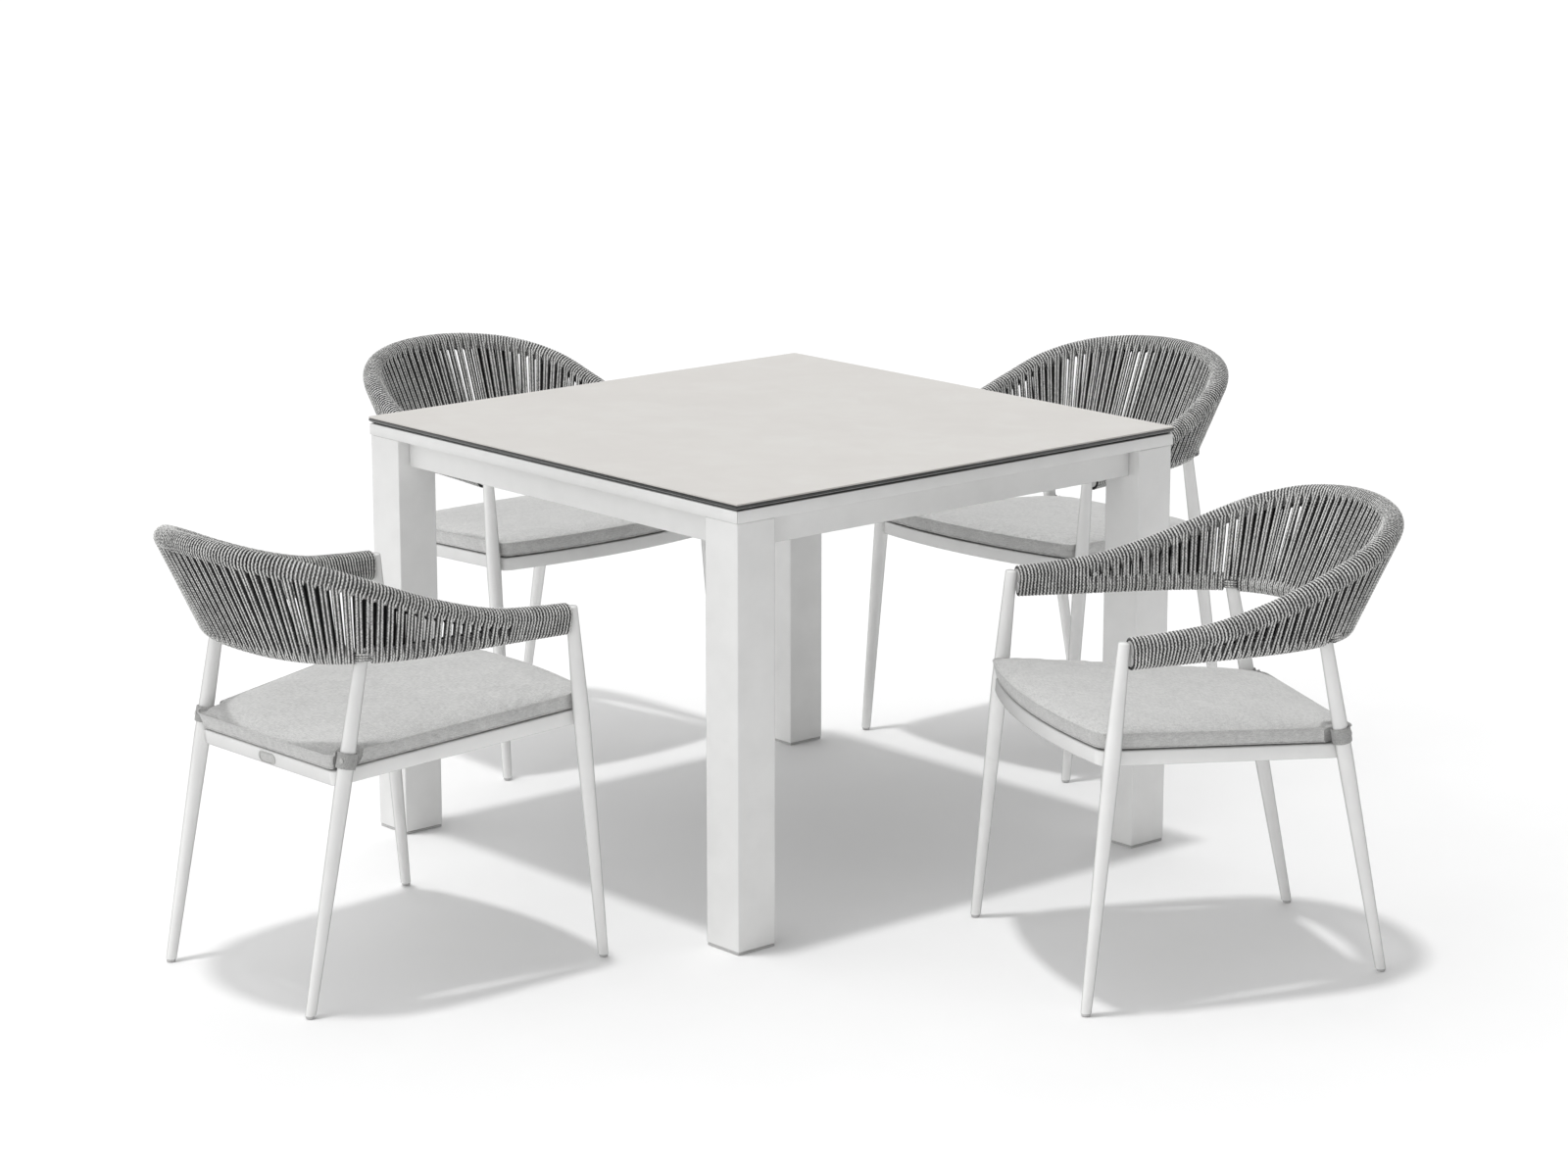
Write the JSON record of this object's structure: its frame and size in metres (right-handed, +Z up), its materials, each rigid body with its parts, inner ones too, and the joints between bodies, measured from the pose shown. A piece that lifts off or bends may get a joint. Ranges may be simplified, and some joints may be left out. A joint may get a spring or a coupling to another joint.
{
  "type": "patio dining set",
  "caption": "Square ceramic-topped outdoor table with rope-backed armchairs that slide on the floor and lift-off seat cushions.",
  "frame": {"origin": "middle of the floor space that the whole set takes up, on the floor", "axes": "+Z up; the table sides run along X and Y; the front chair is on the -Y side and the right chair on the +X side"},
  "size_m": [2.4336, 2.49, 0.75],
  "materials": {
    "white_frame": "satin white powder coat on aluminium",
    "ceramic_top": "matt pale warm grey with faint cloudy mottling",
    "dark_glass": "charcoal back-painted glass, bevelled under the edge",
    "grey_rope": "twisted light and dark grey outdoor rope",
    "grey_fabric": "light grey melange outdoor weave",
    "rubber_feet": "matt pale grey"
  },
  "bodies": {
    "table": {"table_top_ceramic": "ceramic_top", "table_top_glass": "dark_glass", "table_top_rim": "white_frame", "table_centre_brace": "white_frame", "table_apron_front": "white_frame", "table_apron_back": "white_frame", "table_apron_left": "white_frame", "table_apron_right": "white_frame", "table_leg_front_left": "white_frame", "table_leg_front_right": "white_frame", "table_leg_back_left": "white_frame", "table_leg_back_right": "white_frame", "table_foot_front_left": "rubber_feet", "table_foot_front_right": "rubber_feet", "table_foot_back_left": "rubber_feet", "table_foot_back_right": "rubber_feet"},
    "front_chair": {"front_chair_front_leg_left": "white_frame", "front_chair_rear_leg_left": "white_frame", "front_chair_front_leg_right": "white_frame", "front_chair_rear_leg_right": "white_frame", "front_chair_seat_frame": "white_frame", "front_chair_top_rail": "white_frame", "front_chair_lower_rail": "white_frame", "front_chair_rope_back": "grey_rope", "front_chair_cushion_strap_left": "grey_fabric", "front_chair_cushion_strap_right": "grey_fabric"},
    "front_chair_cushion": {"front_chair_cushion": "grey_fabric"},
    "right_chair": {"right_chair_front_leg_left": "white_frame", "right_chair_rear_leg_left": "white_frame", "right_chair_front_leg_right": "white_frame", "right_chair_rear_leg_right": "white_frame", "right_chair_seat_frame": "white_frame", "right_chair_top_rail": "white_frame", "right_chair_lower_rail": "white_frame", "right_chair_rope_back": "grey_rope", "right_chair_cushion_strap_left": "grey_fabric", "right_chair_cushion_strap_right": "grey_fabric"},
    "right_chair_cushion": {"right_chair_cushion": "grey_fabric"},
    "back_chair": {"back_chair_front_leg_left": "white_frame", "back_chair_rear_leg_left": "white_frame", "back_chair_front_leg_right": "white_frame", "back_chair_rear_leg_right": "white_frame", "back_chair_seat_frame": "white_frame", "back_chair_top_rail": "white_frame", "back_chair_lower_rail": "white_frame", "back_chair_rope_back": "grey_rope", "back_chair_cushion_strap_left": "grey_fabric", "back_chair_cushion_strap_right": "grey_fabric"},
    "back_chair_cushion": {"back_chair_cushion": "grey_fabric"},
    "left_chair": {"left_chair_front_leg_left": "white_frame", "left_chair_rear_leg_left": "white_frame", "left_chair_front_leg_right": "white_frame", "left_chair_rear_leg_right": "white_frame", "left_chair_seat_frame": "white_frame", "left_chair_top_rail": "white_frame", "left_chair_lower_rail": "white_frame", "left_chair_rope_back": "grey_rope", "left_chair_cushion_strap_left": "grey_fabric", "left_chair_cushion_strap_right": "grey_fabric"},
    "left_chair_cushion": {"left_chair_cushion": "grey_fabric"}
  },
  "joints": [
    {"name": "front_chair_slide", "type": "slide", "parent": "table", "child": "front_chair", "axis": [-0.0244, 0.9997, 0], "range_m": [-0.3, 0.2]},
    {"name": "front_chair_cushion_lift", "type": "slide", "parent": "front_chair", "child": "front_chair_cushion", "axis": [0, 0, 1], "range_m": [0, 0.04]},
    {"name": "right_chair_slide", "type": "slide", "parent": "table", "child": "right_chair", "axis": [-0.4195, -0.9078, 0], "range_m": [-0.3, 0.12]},
    {"name": "right_chair_cushion_lift", "type": "slide", "parent": "right_chair", "child": "right_chair_cushion", "axis": [0, 0, 1], "range_m": [0, 0.04]},
    {"name": "back_chair_slide", "type": "slide", "parent": "table", "child": "back_chair", "axis": [0.0523, -0.9986, 0], "range_m": [-0.3, 0.15]},
    {"name": "back_chair_cushion_lift", "type": "slide", "parent": "back_chair", "child": "back_chair_cushion", "axis": [0, 0, 1], "range_m": [0, 0.04]},
    {"name": "left_chair_slide", "type": "slide", "parent": "table", "child": "left_chair", "axis": [1, 0.0017, 0], "range_m": [-0.3, 0.12]},
    {"name": "left_chair_cushion_lift", "type": "slide", "parent": "left_chair", "child": "left_chair_cushion", "axis": [0, 0, 1], "range_m": [0, 0.04]}
  ]
}
